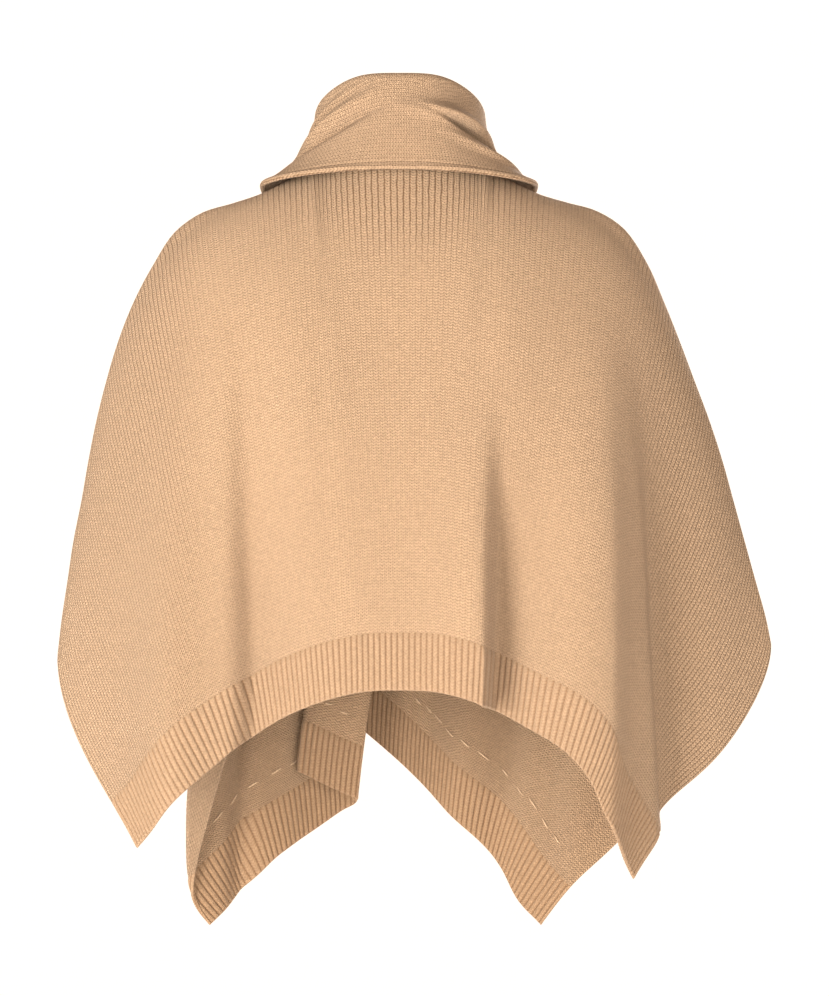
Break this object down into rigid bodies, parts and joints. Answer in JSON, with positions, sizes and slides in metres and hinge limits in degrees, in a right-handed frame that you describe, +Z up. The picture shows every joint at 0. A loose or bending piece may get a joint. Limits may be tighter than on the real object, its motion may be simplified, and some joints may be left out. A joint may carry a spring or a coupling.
{
  "type": "knitted poncho",
  "caption": "Camel wool knit poncho in its worn, hollow form: pull-on with a turned-down tube collar, lapped fronts, open pointed sides and ribbed hem bands.",
  "frame": {"origin": "base of the wearer's neck, on the neck's axis at the height of the shoulder seams beside the collar", "axes": "+Z up, +X to the wearer's left, the front faces -Y"},
  "size_m": [0.715, 0.3255, 0.8589],
  "materials": {
    "camel_knit": "matt plain-knit wool, chunky yarn",
    "camel_rib": "matt ribbed wool knit",
    "camel_collar": "matt wool knit, stitches running round the neck"
  },
  "bodies": {
    "root": {"back_panel": "camel_knit", "left_front_panel": "camel_knit", "right_front_panel": "camel_knit", "back_rib_band": "camel_rib", "left_front_rib_band": "camel_rib", "right_front_rib_band": "camel_rib", "collar": "camel_collar"}
  },
  "joints": []
}
